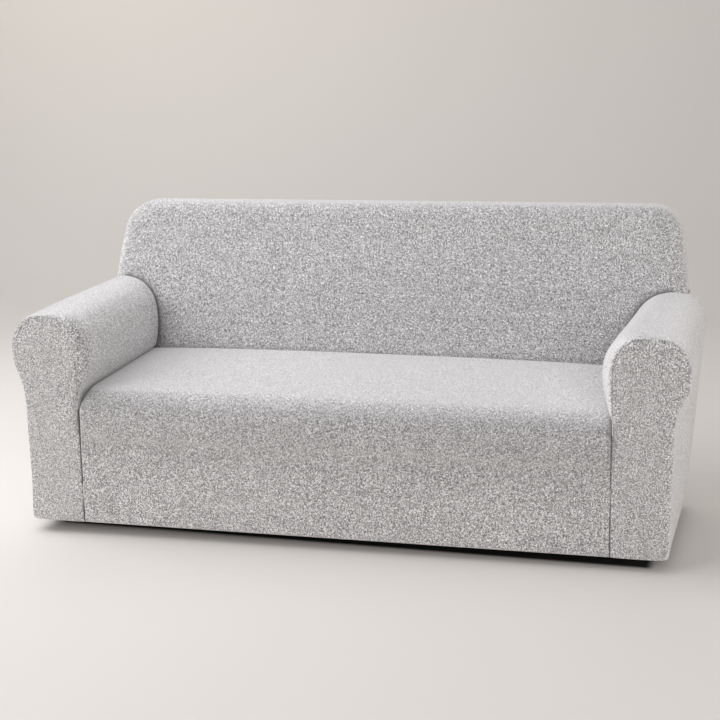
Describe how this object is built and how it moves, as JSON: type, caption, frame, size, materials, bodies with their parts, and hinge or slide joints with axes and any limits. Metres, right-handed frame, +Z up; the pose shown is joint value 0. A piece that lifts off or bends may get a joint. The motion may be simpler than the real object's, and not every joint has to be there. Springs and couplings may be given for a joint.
{
  "type": "sofa slipcover",
  "caption": "Fitted stretch cover for a rolled-arm sofa: hollow knit shell with seat, back, arm sleeves and arm facings, open below.",
  "frame": {"origin": "underside of the cloth on top of the back, midway along it, where the sofa carries the cover", "axes": "+X along the seat towards the arm on the right as seen from in front, +Y towards the rear, +Z up"},
  "size_m": [1.955, 0.8746, 0.8526],
  "materials": {
    "heather_knit": "light heather-grey stretch knit, matt"
  },
  "bodies": {
    "root": {"seat_and_front": "heather_knit", "inside_back": "heather_knit", "outside_back": "heather_knit", "arm_sleeve_left": "heather_knit", "arm_sleeve_right": "heather_knit", "arm_front_left": "heather_knit", "arm_front_right": "heather_knit"}
  },
  "joints": []
}
